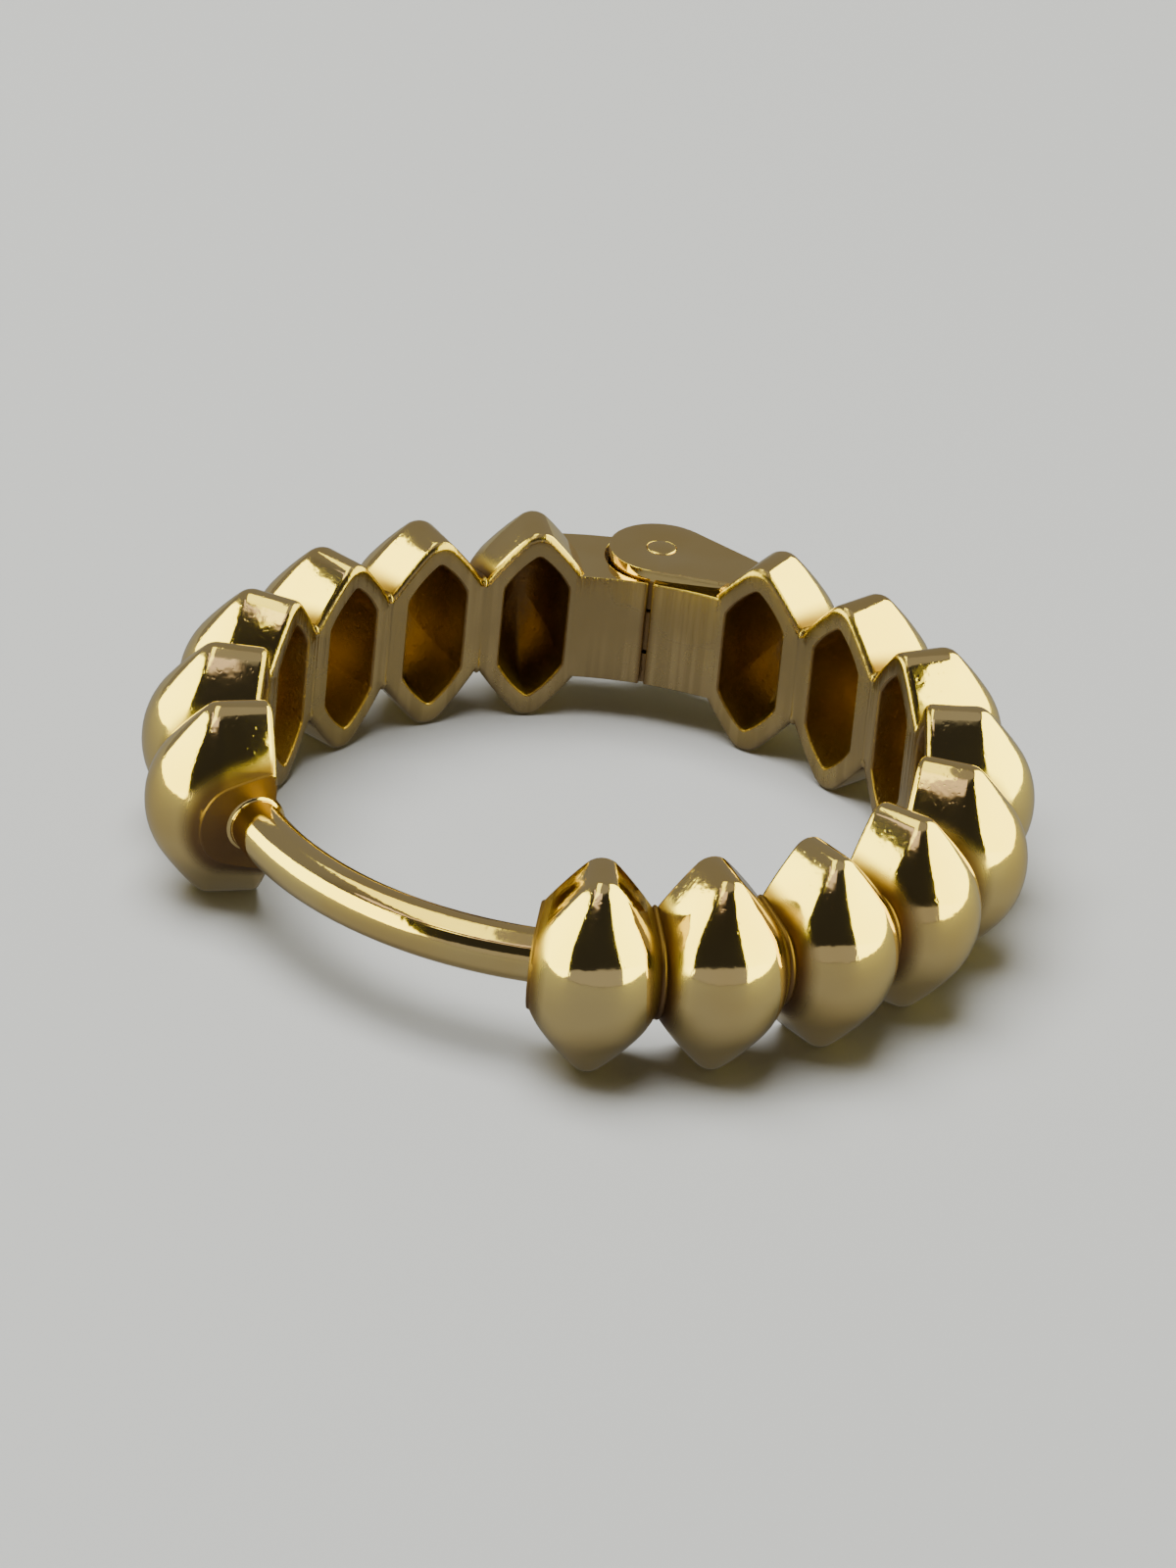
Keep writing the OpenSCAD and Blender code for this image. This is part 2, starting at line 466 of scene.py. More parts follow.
def lay_valley(bm):
    ring = [e for e in bm.edges if e.is_boundary and all(on_side(v, 1) for v in e.verts)]
    corners = dict.fromkeys(v for e in ring for v in e.verts)
    bmesh.ops.spin(bm, geom=[*corners, *ring], cent=HOOP_AXIS, axis=Z_AXIS,
                   angle=math.radians(2 * valley_half_turn), steps=valley_steps)
    bm.normal_update()
    for v in bm.verts:
        turn = math.degrees(math.atan2(v.co.y, v.co.x)) - link_pitch / 2
        share = turn / valley_half_turn
        if abs(share) < inside_strip:
            v.co -= v.normal * valley_sag * (1 - share * share)


# %% Make one link
def make_link(joined, free=0, notched=False):
    """One link lying along X: the sides that meet a neighbour, and a free side or 0."""
    shell = bmesh.new()
    link_dome(shell, link_almond)
    cut_sides = [*joined, free] if free else joined
    trim_link(shell, cut_sides)
    for side in cut_sides:
        join_back(shell, side)
    if free:
        close_end(shell, free)
    cup = bmesh.new()
    link_hollow(cup)
    add_to(shell, cup)
    if notched:
        cut_notch(shell)
    close_back(shell)
    if 1 in joined:
        lay_valley(shell)
    return shell


# %% [markdown]
# ## From one link to a half hoop
#
# A half hoop is a first link, a row of equal middle links and a last link. The
# middle link is made once and copied round by a spin that duplicates, which is
# what an array does on an arc. Where the strips meet the next link their
# vertices fall together, and a weld makes the whole row one closed skin.

# %% Row of links
def link_row(low_angle, count, free, notched=False):
    """Links from the lowest angle upwards, each joined to the next, one end of them free."""
    row = bmesh.new()
    add_to(row, make_link([-1, 1]), low_angle + link_pitch)
    bmesh.ops.spin(row, geom=row.verts[:] + row.edges[:] + row.faces[:], cent=HOOP_AXIS,
                   axis=Z_AXIS, angle=math.radians(link_pitch * (count - 3)),
                   steps=count - 3, use_duplicate=True)
    first_free, last_free = min(free, 0), max(free, 0)
    add_to(row, make_link([1], first_free, notched), low_angle)
    add_to(row, make_link([-1], last_free), low_angle + link_pitch * (count - 1))
    weld(row)
    return row


# %% Finish a mesh as a named piece
def as_piece(bm, name, finishes, sharp=50):
    """Turns the work to metres, its faces outwards, and gives it its finishes."""
    bmesh.ops.recalc_face_normals(bm, faces=bm.faces)
    bmesh.ops.translate(bm, vec=(0, 0, mid_z), verts=bm.verts)
    bmesh.ops.scale(bm, vec=(MM, MM, MM), verts=bm.verts)
    open_edges = sum(not e.is_manifold for e in bm.edges)
    mesh = bpy.data.meshes.new(name)
    bm.to_mesh(mesh)
    bm.free()
    mesh.shade_smooth()
    mesh.set_sharp_from_angle(angle=math.radians(sharp))
    for finish in finishes:
        mesh.materials.append(finish)
    piece = bpy.data.objects.new(name, mesh)
    bpy.context.scene.collection.objects.link(piece)
    print(f"{name}: {len(mesh.polygons)} faces, {open_edges} open edges")
    return piece


front_links = link_row(catch_angle, front_count, free=-1, notched=True)
back_links = link_row(back_first, back_count, free=1)
print(f"front half {len(front_links.faces)} faces, back half {len(back_links.faces)} faces")

# %% [markdown]
# ## The hinge block
#
# Between the two halves sits a small block, split by a fine seam. A round
# knuckle turns in it: two ears of the front half hold a tongue of the back
# half. Seen from above, half a block is one outline with the knuckle's round
# seat as a face of its own. Both faces are extruded where the metal is full,
# and only the outer one where the seat is open. The lower half is a mirror
# image, so only the upper half is drawn. No tool reaches into the seat and the
# seam, so the gold there stays as it was cast. Its cast tone is darkened as
# painted shade, so the seam shows as a dark line.

# %% Measures of the hinge
block_in_r = back_r + 0.04
block_out_r = 7.13
block_half_h = 0.975
running_gap = 0.05
knuckle_r = 0.8998
seat_r = knuckle_r + running_gap
bore_r = 0.26
tongue_half_h = 0.375
slot_half_h = tongue_half_h + running_gap
ear_rise = 0.2
ear_top = block_half_h + ear_rise
seam_half_w = 0.04
link_out = Vector((math.cos(math.radians(front_first)), math.sin(math.radians(front_first)), 0))
link_side = Vector((-link_out.y, link_out.x, 0))
wall_depth = 0.62
skin_depth = 0.1
skin_r = 6.72
block_edge_r, ear_edge_r, tongue_edge_r = 0.035, 0.06, 0.03
print(f"block {2 * block_half_h:.2f} mm high, knuckle {2 * knuckle_r:.2f} mm wide, "
      f"seam {2 * seam_half_w:.2f} mm")


# %% Outline of half the block
def angle_about(centre, point):
    return math.degrees(math.atan2(point.y - centre.y, point.x - centre.x))


def meeting_point(radius):
    """Where a circle about the hoop's axis crosses the knuckle's seat, on the +X side."""
    y = (radius ** 2 + pin_centre.y ** 2 - seat_r ** 2) / (2 * pin_centre.y)
    return Vector((math.sqrt(radius ** 2 - y ** 2), y, 0))


def block_plan(bm):
    """Two faces at height 0: the block round the seat, and the seat itself."""
    seam_in = Vector((seam_half_w, math.sqrt(block_in_r ** 2 - seam_half_w ** 2), 0))
    seam_out = Vector((seam_half_w, math.sqrt(block_out_r ** 2 - seam_half_w ** 2), 0))
    drop = math.sqrt(seat_r ** 2 - seam_half_w ** 2)
    seat_in = Vector((seam_half_w, pin_centre.y - drop, 0))
    seat_out = meeting_point(block_out_r)
    wall_turn = front_first + math.degrees(math.asin(wall_depth / block_in_r))
    skin_turn = front_first + math.degrees(math.asin(skin_depth / block_out_r))
    skin_out = link_side * skin_depth + link_out * math.sqrt(block_out_r ** 2 - skin_depth ** 2)
    first = bm.verts.new(seam_in)
    turn = wall_turn - angle_about(HOOP_AXIS, seam_in)
    end = draw_arc(bm, first, HOOP_AXIS, Z_AXIS, turn, steps=12)
    end = draw_line(bm, end, link_out * skin_r + link_side * wall_depth)
    end = draw_line(bm, end, skin_out)
    turn = angle_about(HOOP_AXIS, seat_out) - skin_turn
    corner = draw_arc(bm, end, HOOP_AXIS, Z_AXIS, turn, steps=10)
    turn = angle_about(pin_centre, seat_in) - angle_about(pin_centre, seat_out)
    end = draw_arc(bm, corner, pin_centre, Z_AXIS, turn, steps=24)
    seat = edges_among(v for v in bm.verts
                       if abs((v.co - pin_centre).length - seat_r) < NEAR)
    bm.edges.new((end, first))
    bmesh.ops.contextual_create(bm, geom=bm.edges[:])
    before = set(bm.edges)
    turn = angle_about(HOOP_AXIS, seam_out) - angle_about(HOOP_AXIS, seat_out)
    far = draw_arc(bm, corner, HOOP_AXIS, Z_AXIS, turn, steps=8)
    bm.edges.new((far, end))
    bmesh.ops.contextual_create(bm, geom=[e for e in bm.edges if e not in before] + seat)


# %% Extrude, mirror and soften the block
face_slack, seat_slack, seam_lip = 0.02, 0.01, 0.03


def lift(bm, faces, height):
    """Extrudes flat faces along Z and returns their new caps."""
    made = bmesh.ops.extrude_face_region(bm, geom=faces)["geom"]
    bmesh.ops.translate(bm, vec=(0, 0, height), verts=verts_of(made))
    return [g for g in made if isinstance(g, bmesh.types.BMFace)]


def soften(bm, radius, over=35):
    """Rounds every edge that turns by more than this many degrees."""
    sharp = [e for e in bm.edges
             if len(e.link_faces) == 2 and math.degrees(e.calc_face_angle()) > over]
    bmesh.ops.bevel(bm, geom=sharp, offset=radius, offset_type="OFFSET", segments=3,
                    profile=0.5, affect="EDGES", clamp_overlap=True, material=-1)


def finish_block(bm):
    """Brushes the inner face and leaves the seat and the seam as cast."""
    for face in bm.faces:
        middle = face.calc_center_median()
        if abs(middle.xy.length - block_in_r) < face_slack:
            face.material_index = FINISH["brushed"]
        in_seat = (middle.xy - pin_centre.xy).length < seat_r + seat_slack
        # The seat and the seam get the cast finish, whose dark tone is painted shade of these
        # narrow gaps.
        if in_seat or middle.x < seam_half_w + seam_lip:
            face.material_index = FINISH["hollow"]


def half_block(start, wide, narrow):
    """Half the block: both faces of the plan run wide, then the outer one runs narrow."""
    bm = bmesh.new()
    block_plan(bm)
    bmesh.ops.translate(bm, vec=(0, 0, start), verts=bm.verts)
    caps = lift(bm, bm.faces[:], wide)
    outer = max(caps, key=lambda f: f.calc_center_median().x)
    cap = bmesh.ops.extrude_discrete_faces(bm, faces=[outer])["faces"][0]
    bmesh.ops.translate(bm, vec=(0, 0, narrow), verts=cap.verts)
    middle = [f for f in bm.faces if all(abs(v.co.z) < NEAR for v in f.verts)]
    bmesh.ops.delete(bm, geom=middle, context="FACES")
    bmesh.ops.mirror(bm, geom=bm.verts[:] + bm.edges[:] + bm.faces[:], axis="Z",
                     matrix=Matrix.Identity(4), merge_dist=NEAR)
    bmesh.ops.recalc_face_normals(bm, faces=bm.faces)
    soften(bm, block_edge_r)
    finish_block(bm)
    return bm


front_hinge = half_block(block_half_h, slot_half_h - block_half_h, -slot_half_h)
back_hinge = half_block(0, tongue_half_h, block_half_h - tongue_half_h)
bmesh.ops.scale(back_hinge, vec=(-1, 1, 1), verts=back_hinge.verts)
print(f"half blocks of {len(front_hinge.faces)} and {len(back_hinge.faces)} faces")


# %% [markdown]
# ## Ears and tongue
#
# The knuckle's parts are thick washers. A circle is copied smaller for the
# bore, the two are bridged to a flat ring, and the ring is lifted to its
# height. An ear also has a neck that narrows into the first link: part of its
# outer circle is extruded, flattened and drawn in on the way. The end of the
# neck is cut on a slant, so that it stays inside the link's metal. A cut round
# the upper ear at the block's height parts the wall that stands free, which is
# polished, from the wall behind the seam, which is not polished and is painted
# dark as shade of the seam's gap.

# %% Knuckle rings
def flat_ring(bm, from_turn, neck_turn):
    """A flat ring about the pin. Returns the edges of the stretch that a neck grows from."""
    towards = Matrix.Rotation(math.radians(from_turn), 3, "Z") @ X_AXIS
    start = bm.verts.new(pin_centre + towards * knuckle_r)
    end = draw_arc(bm, start, pin_centre, Z_AXIS, neck_turn, steps=20)
    stretch = bm.edges[:]
    draw_arc(bm, end, pin_centre, Z_AXIS, 360 - neck_turn, steps=28)
    weld(bm)
    rim = bm.edges[:]
    bore = bmesh.ops.duplicate(bm, geom=rim)["geom"]
    shrink = bore_r / knuckle_r
    bmesh.ops.scale(bm, vec=(shrink, shrink, 1), verts=verts_of(bore),
                    space=Matrix.Translation(-pin_centre))
    bmesh.ops.bridge_loops(bm, edges=bm.edges[:])
    return [e for e in stretch if e.is_valid]


def grow_neck(bm, stretch, turn, lean, length):
    """Extrudes part of the ring's rim, flattens it and moves it towards the link."""
    neck = Matrix.Translation(pin_centre) @ Matrix.Rotation(math.radians(turn), 4, "Z")
    tip = verts_of(bmesh.ops.extrude_edge_only(bm, edges=stretch)["geom"])
    bmesh.ops.scale(bm, vec=(0, neck_half_w / knuckle_r, 1), verts=tip, space=neck.inverted())
    reach = length + neck_half_w * math.sin(lean)
    bmesh.ops.translate(bm, vec=neck.to_3x3() @ Vector((reach, 0, 0)), verts=tip)


neck_half_w = 0.3
neck_slant = 0.6
slant_height = 0.8
tongue_play = 0.002


def ear(low, high):
    """One fork ear between two heights, softened, with its neck's end inside the link."""
    bm = bmesh.new()
    reach = link_out * spine_r - pin_centre
    lean = math.asin((knuckle_r - neck_half_w) / reach.length)
    turn = math.degrees(math.atan2(reach.y, reach.x))
    half = 90 - math.degrees(lean)
    stretch = flat_ring(bm, turn - half, 2 * half)
    grow_neck(bm, stretch, turn, lean, reach.length)
    bmesh.ops.translate(bm, vec=(0, 0, low), verts=bm.verts)
    lift(bm, bm.faces[:], high - low)
    bmesh.ops.recalc_face_normals(bm, faces=bm.faces)
    soften(bm, ear_edge_r)
    up = 1 if low + high > 0 else -1
    slant = -(link_side + Z_AXIS * neck_slant * up)
    place = link_side * wall_depth + Z_AXIS * slant_height * up
    cut(bm, bm.faces, place, slant, clear=True)
    bmesh.ops.holes_fill(bm, edges=[e for e in bm.edges if e.is_boundary])
    return bm


def tongue():
    """The ring that turns between the ears, a hair lower than its own metal."""
    bm = bmesh.new()
    flat_ring(bm, 0, 180)
    height = tongue_half_h - tongue_play
    bmesh.ops.translate(bm, vec=(0, 0, -height), verts=bm.verts)
    lift(bm, bm.faces[:], 2 * height)
    bmesh.ops.recalc_face_normals(bm, faces=bm.faces)
    soften(bm, tongue_edge_r)
    return bm


# %% Put each half of the hinge together
ear_play = 0.005
ear_proud = 0.004
wall_from, wall_to = -0.12, 1.3
wall_bend = 0.05
wall_half_h = block_half_h - 0.07


def dull_and_shade_behind_seam(bm):
    """Leaves the knuckle's wall as cast where only the seam shows it, dark as painted shade."""
    wall_y = pin_centre.y - knuckle_r
    for face in bm.faces:
        middle = face.calc_center_median()
        at_wall = wall_from < middle.x < wall_to and abs(middle.y - wall_y) < wall_bend
        if at_wall and abs(middle.z) < wall_half_h:
            face.material_index = FINISH["hollow"]


upper_ear = ear(slot_half_h + ear_play, ear_top)
cut(upper_ear, upper_ear.faces, Z_AXIS * block_half_h, Z_AXIS)
add_to(front_hinge, upper_ear)
add_to(front_hinge, ear(-block_half_h - ear_proud, -slot_half_h - ear_play))
add_to(back_hinge, tongue())
# Painted shade on the knuckle's wall where the seam shows it.
dull_and_shade_behind_seam(front_hinge)
dull_and_shade_behind_seam(back_hinge)
print(f"hinge: {len(front_hinge.faces)} and {len(back_hinge.faces)} faces")

# %% [markdown]
# ## The hinge pin
#
# The pin is a short rod whose ends were hammered to low domes, so that it can't
# fall out. It is a circle pushed up in rings, with the last rings drawn in
# along a quarter of an ellipse. Half of it is made and mirrored.

# %% Rod with low domed ends
pin_r = 0.25
pin_proud = 0.03
head_steps = 7


def pin_half(length):
    """A rod of this length with one low domed end, open at its foot."""
    bm = bmesh.new()
    bmesh.ops.create_circle(bm, segments=32, radius=pin_r)
    loop = push_loop(bm, bm.edges[:], (0, 0, length))
    for turn, last in quarter_turn(head_steps, stop_short=True):
        draw_in = math.cos(turn) / math.cos(last)
        rise = pin_proud * (math.sin(turn) - math.sin(last))
        loop = push_loop(bm, loop, (0, 0, rise), (draw_in, draw_in, 1))
    bmesh.ops.contextual_create(bm, geom=loop)
    return bm


pin = pin_half(ear_top)
lower_end = pin_half(block_half_h)
bmesh.ops.scale(lower_end, vec=(1, 1, -1), verts=lower_end.verts)
add_to(pin, lower_end)
weld(pin)
bmesh.ops.translate(pin, vec=pin_centre, verts=pin.verts)
print(f"pin {2 * pin_r:.2f} mm thick, {ear_top + block_half_h + 2 * pin_proud:.2f} mm long")

# %% [markdown]
# ## The ear wire
#
# The wire is the one part that goes through the ear. It is soldered to the last
# link of the back half, follows the hoop's curve and ends in a round tip that
# plugs into the notch. A circle is swept about the hoop's axis, ring by ring,
# so that the solder's little flare and the round tip can be drawn on the way.

# %% Sweep the wire
flare_r = 0.06
solder_turn = 9.3
root_offset, tip_offset = 7, 5
wire_start = root_angle + root_offset
wire_end = catch_angle + 360 - tip_offset
flare_steps, body_steps, tip_steps = 5, 40, 8


def sweep_ring(bm, loop, centre_turn, degrees, grow=1):
    """Extrudes a ring of the wire, turns it about the hoop's axis and resizes it."""
    verts = verts_of(bmesh.ops.extrude_edge_only(bm, edges=loop)["geom"])
    turn_about_hoop(bm, verts, degrees)
    towards = Matrix.Rotation(math.radians(centre_turn + degrees), 3, "Z") @ X_AXIS
    bmesh.ops.scale(bm, vec=(grow, grow, grow), verts=verts,
                    space=Matrix.Translation(towards * -wire_path_r))
    return edges_among(verts), centre_turn + degrees


def ear_wire():
    """The wire from its solder to its tip, closed at both ends."""
    bm = bmesh.new()
    upright = Matrix.Translation((wire_path_r, 0, 0)) @ Matrix.Rotation(math.pi / 2, 4, "X")
    bmesh.ops.create_circle(bm, segments=36, radius=wire_r + flare_r, matrix=upright)
    turn_about_hoop(bm, bm.verts, wire_start)
    loop, turn = bm.edges[:], wire_start
    bmesh.ops.contextual_create(bm, geom=loop)
    loop, turn = sweep_ring(bm, loop, turn, root_angle + solder_turn - wire_start)
    radius = wire_r + flare_r
    for step in range(1, flare_steps + 1):
        share = step / flare_steps
        wanted = wire_r + flare_r * (1 - math.sqrt(1 - (1 - share) ** 2))
        degrees = math.degrees(flare_r / flare_steps / wire_path_r)
        loop, turn = sweep_ring(bm, loop, turn, degrees, wanted / radius)
        radius = wanted
    body_turn = (wire_end - turn) / body_steps
    for _ in range(body_steps):
        loop, turn = sweep_ring(bm, loop, turn, body_turn)
    for now, last in quarter_turn(tip_steps, stop_short=True):
        ahead = math.degrees(wire_r * (math.sin(now) - math.sin(last)) / wire_path_r)
        loop, turn = sweep_ring(bm, loop, turn, ahead, math.cos(now) / math.cos(last))
    bmesh.ops.contextual_create(bm, geom=loop)
    return bm


wire = ear_wire()
print(f"wire from {wire_start:.0f} to {wire_end - 360:.1f} degrees, {len(wire.faces)} faces")

# %% [markdown]
# ## Helpers for finishes
#
# A finish is a small network of nodes. A few helpers keep it readable: one adds
# a node and fills its sockets, where a value is set and another node's socket
# is linked, and one starts a group with named sockets. The others add the four
# nodes that are needed again and again. What several golds share, such as
# hairlines and smudges, is made once as a group.

# %% Add nodes and start groups
def node(tree, kind, settings=None, sockets=None):
    """Adds a node. Plain values are set on its sockets, other nodes' sockets are linked."""
    made = tree.nodes.new("ShaderNode" + kind)
    for name, value in (settings or {}).items():
        setattr(made, name, value)
    for name, value in (sockets or {}).items():
        socket = made.inputs[name]
        if isinstance(value, bpy.types.NodeSocket):
            tree.links.new(value, socket)
        else:
            socket.default_value = value
    return made


def start_group(name, inputs, outputs):
    """A shader group with named sockets, and its input and output nodes."""
    group = bpy.data.node_groups.new(name, "ShaderNodeTree")
    for label, kind, value in inputs:
        socket = group.interface.new_socket(name=label, in_out="INPUT",
                                            socket_type="NodeSocket" + kind)
        if value is not None:
            socket.default_value = value
    for label, kind in outputs:
        group.interface.new_socket(name=label, in_out="OUTPUT",
                                   socket_type="NodeSocket" + kind)
    source = group.nodes.new("NodeGroupInput")
    return group, source.outputs, group.nodes.new("NodeGroupOutput").inputs


def place_group(tree, group, sockets):
    return node(tree, "Group", {"node_tree": group}, sockets).outputs


# %% Add the nodes that are used most
def calc(tree, operation, a, b=0.0):
    return node(tree, "Math", {"operation": operation}, {0: a, 1: b}).outputs[0]


def rescale(tree, value, low, high, to_low, to_high):
    """Maps a value from one range to another and holds it at the ends."""
    made = node(tree, "MapRange", {"interpolation_type": "SMOOTHSTEP"},
                {"Value": value, "From Min": low, "From Max": high,
                 "To Min": to_low, "To Max": to_high})
    return made.outputs["Result"]


def mix(tree, kind, share, a, b):
    """Blends two numbers (FLOAT) or two colours (RGBA) by a share."""
    made = node(tree, "Mix", {"data_type": kind}, {"Factor": share, "A": a, "B": b})
    return made.outputs["Result"]


def noise(tree, place, scale, detail, roughness, distortion=0.0):
    made = node(tree, "TexNoise", {"noise_dimensions": "3D"},
                {"Vector": place, "Scale": scale, "Detail": detail,
                 "Roughness": roughness, "Distortion": distortion})
    return made.outputs[0]


# %% [markdown]
# ## Places on the hoop
#
# Brushing and drawing marks run along the hoop or across it, not along the
# world's axes. This group turns a point's position into distance from the
# hoop's axis, distance along the hoop and height, all in millimetres. A noise
# that is stretched in such a place becomes lines in the wanted direction.

# %% Group: hoop places
def build_hoop_places():
    """A place as distance from the axis, distance along the hoop and height."""
    group, given, out = start_group(
        "Hoop places", [("Position", "Vector", None)], [("Place", "Vector")])
    parts = node(group, "SeparateXYZ", sockets={0: given["Position"]}).outputs
    flat = node(group, "CombineXYZ", sockets={"X": parts["X"], "Y": parts["Y"]}).outputs[0]
    radius = node(group, "VectorMath", {"operation": "LENGTH"}, {0: flat}).outputs["Value"]
    angle = calc(group, "ARCTAN2", parts["Y"], parts["X"])
    along = calc(group, "MULTIPLY", angle, spine_r * MM)
    place = node(group, "CombineXYZ", sockets={"X": radius, "Y": along, "Z": parts["Z"]})
    scaled = node(group, "VectorMath", {"operation": "SCALE"},
                  {0: place.outputs[0], "Scale": 1 / MM})
    group.links.new(scaled.outputs["Vector"], out["Place"])
    return group


hoop_places = build_hoop_places()
print("group", hoop_places.name, "with", len(hoop_places.nodes), "nodes")

# %% [markdown]
# ## Hairlines, smudges and drift of colour
#
# Worn polished gold is never a perfect mirror. The buffing wheel leaves fine
# lines, skin leaves smudges that dull it in patches, and the alloy's colour
# drifts a little with its age. Each of these is a group that turns a place into
# one changing value, so that every gold can use it with its own strength.

# %% Group: hairlines
line_edge = 0.16


def build_hairlines():
    """Thin scattered lines along the place's Z, as a height from 0 to 1."""
    group, given, out = start_group(
        "Hairlines",
        [("Place", "Vector", None), ("Fineness", "Float", 14), ("Length", "Float", 1.5),
         ("Sparse", "Float", 0.6)],
        [("Height", "Float")])
    stretch = node(group, "CombineXYZ", sockets={
        "X": given["Fineness"], "Y": given["Fineness"],
        "Z": calc(group, "DIVIDE", 1.0, given["Length"])}).outputs[0]
    place = node(group, "VectorMath", {"operation": "MULTIPLY"},
                 {0: given["Place"], 1: stretch}).outputs["Vector"]
    top = calc(group, "ADD", given["Sparse"], line_edge)
    grey = noise(group, place, scale=1, detail=2, roughness=0.5)
    group.links.new(rescale(group, grey, given["Sparse"], top, 1, 0), out["Height"])
    return group


hairlines = build_hairlines()
print("group", hairlines.name, "with", len(hairlines.nodes), "nodes")


# %% Group: smudges
clean_to, smudged_from = 0.42, 0.64


def build_smudges():
    """Soft patches with streaky edges, as a value between the two that are given."""
    group, given, out = start_group(
        "Smudges",
        [("Place", "Vector", None), ("Scale", "Float", 0.6), ("Clean", "Float", 0.06),
         ("Smudged", "Float", 0.14)],
        [("Roughness", "Float")])
    wide = noise(group, given["Place"], given["Scale"], detail=5, roughness=0.6,
                 distortion=0.8)
    touched = rescale(group, wide, clean_to, smudged_from, 0.0, 1.0)
    dulled = mix(group, "FLOAT", touched, given["Clean"], given["Smudged"])
    group.links.new(dulled, out["Roughness"])
    return group


smudges = build_smudges()
print("group", smudges.name, "with", len(smudges.nodes), "nodes")


# %% Group: drift of colour
one_tone_to, other_tone_from = 0.35, 0.65


def build_tone_drift():
    """Two tones of the same gold, mixed in slow patches."""
    group, given, out = start_group(
        "Tone drift",
        [("Place", "Vector", None), ("Scale", "Float", 0.35), ("Tone", "Color", None),
         ("Other tone", "Color", None)],
        [("Color", "Color")])
    slow = noise(group, given["Place"], given["Scale"], detail=3, roughness=0.55)
    share = rescale(group, slow, one_tone_to, other_tone_from, 0.0, 1.0)
    group.links.new(mix(group, "RGBA", share, given["Tone"], given["Other tone"]), out["Color"])
    return group


tone_drift = build_tone_drift()
print("group", tone_drift.name, "with", len(tone_drift.nodes), "nodes")


# %% Group: grain of the casting
pit_middle, pit_edge = 0.08, 0.3


def build_grain():
    """The fine skin of a casting with a few pits, as a height."""
    group, given, out = start_group(
        "Casting grain",
        [("Place", "Vector", None), ("Scale", "Float", 9), ("Pits", "Float", 0.35)],
        [("Height", "Float")])
    fine = noise(group, given["Place"], given["Scale"], detail=6, roughness=0.65)
    cells = node(group, "TexVoronoi", {"voronoi_dimensions": "3D", "feature": "F1"},
                 {"Vector": given["Place"], "Scale": given["Scale"]}).outputs["Distance"]
    pit = rescale(group, cells, pit_middle, pit_edge, 1.0, 0.0)
    deep = calc(group, "MULTIPLY", pit, given["Pits"])
    group.links.new(calc(group, "SUBTRACT", fine, deep), out["Height"])
    return group


casting_grain = build_grain()
print("group", casting_grain.name, "with", len(casting_grain.nodes), "nodes")

# %% [markdown]
# ## Painted shade in the valleys
#
# The valleys between the links are painted darker. This is painted shade, for
# the shade that falls into the creases where two links meet. The buffing wheel
# doesn't reach the valleys either, so the gold there is also duller. The
# valleys lie at even angles on both sides of the hinge, so a point's angle from
# the hinge says how far it is from the nearest one. No texture is painted and no
# extra vertex data is needed. The hinge block has no valley, so the shade starts
# a little past it.

# %% Group: valley shade
darkest_turn = 0.8
past_block_turn = 90 - front_first + 4


def build_valley_shade():
    """1 in the valleys between the links, 0 on their domes."""
    group, given, out = start_group(
        "Valley shade",
        [("Position", "Vector", None), ("Width", "Float", 2.9), ("Strength", "Float", 0.9)],
        [("Shade", "Float")])
    parts = node(group, "SeparateXYZ", sockets={0: given["Position"]}).outputs
    turned = calc(group, "ARCTAN2", parts["X"], parts["Y"])
    angle = calc(group, "ABSOLUTE", calc(group, "DEGREES", turned))
    first_valley = 90 - front_first + link_pitch / 2
    steps = calc(group, "DIVIDE", calc(group, "SUBTRACT", angle, first_valley), link_pitch)
    share = calc(group, "ABSOLUTE", calc(group, "SUBTRACT", steps, calc(group, "ROUND", steps)))
    away = calc(group, "MULTIPLY", share, link_pitch)
    # Painted shade: full in the middle of a valley, gone at its width.
    shade = rescale(group, away, darkest_turn, given["Width"], given["Strength"], 0.0)
    past_block = calc(group, "GREATER_THAN", angle, past_block_turn)
    group.links.new(calc(group, "MULTIPLY", shade, past_block), out["Shade"])
    return group


valley_shade = build_valley_shade()
print(f"valleys are darkest within {darkest_turn} degrees of their middle")

# %% [markdown]
# ## The golds
#
# Every finish here is the same alloy, so each material starts alike: a metal
# with a colour that drifts and a roughness that varies. They differ in how they
# were worked. The domes are polished to a mirror, the hollows are as they came
# from the mould, the flat rims are drawn over a fine stone, and the hinge
# block's inner face is brushed across. Two helpers work on a started metal: one
# tints it where a mask is high, the other bumps its surface by a height.

# %% Start of every gold
WARM_GOLD = (0.90, 0.67, 0.28, 1)
PALE_GOLD = (0.94, 0.74, 0.35, 1)
STONED_GOLD = (0.66, 0.50, 0.25, 1)
DULL_GOLD = (0.50, 0.37, 0.18, 1)
# The two cast tones are darkened as painted shade of the hollows, the seat and the seam.
SHADED_CAST_GOLD = (0.37, 0.25, 0.13, 1)
SHADE_BROWN_GOLD = (0.29, 0.18, 0.08, 1)
# A dark tone for the painted shade in the valleys, not a colour of the alloy.
VALLEY_SHADE_TONE = (0.145, 0.07, 0.045, 1)


